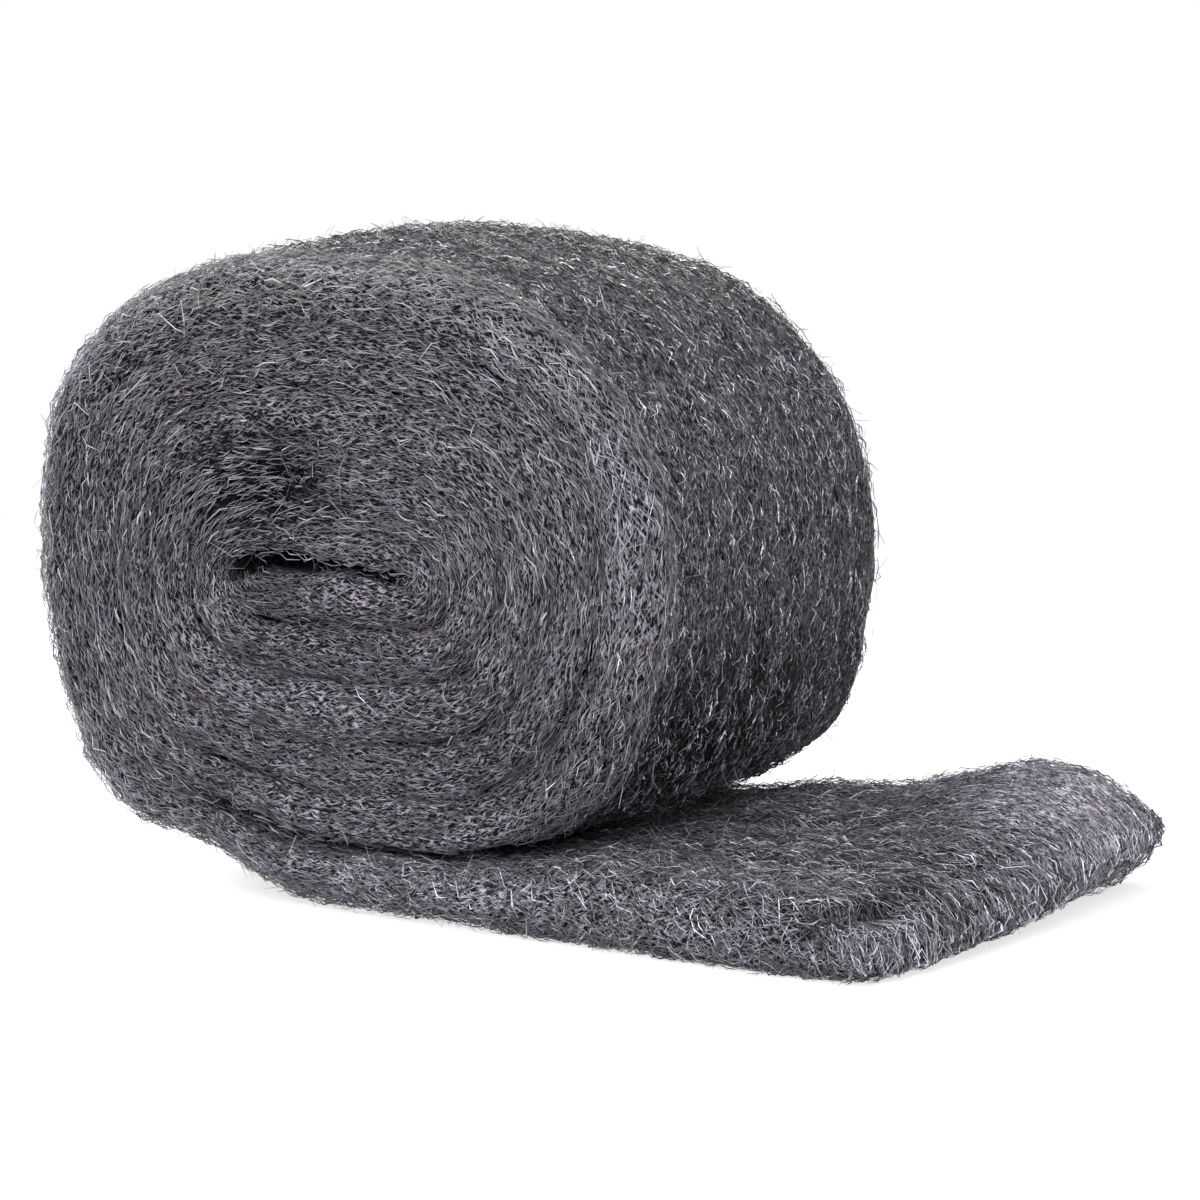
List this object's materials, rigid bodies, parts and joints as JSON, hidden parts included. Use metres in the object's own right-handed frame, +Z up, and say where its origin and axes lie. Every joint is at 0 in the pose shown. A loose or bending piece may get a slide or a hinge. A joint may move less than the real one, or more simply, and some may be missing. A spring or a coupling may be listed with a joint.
{
  "type": "steel wool roll",
  "caption": "Roll of coarse grey steel wool for scouring and polishing, wound from one flat strip whose free end lies out beside the roll.",
  "frame": {"origin": "on the surface that the roll stands on, at the flat spot under the roll's middle, halfway along the roll's axis", "axes": "+X towards the free end, +Y along the roll's axis from the face in the picture's foreground to the far one, +Z up"},
  "size_m": [0.1978, 0.1, 0.1264],
  "materials": {
    "steel_wool": "dark grey matted steel fibre, dull, with fine bright strands"
  },
  "bodies": {
    "root": {"steel_wool_roll": "steel_wool"}
  },
  "joints": []
}
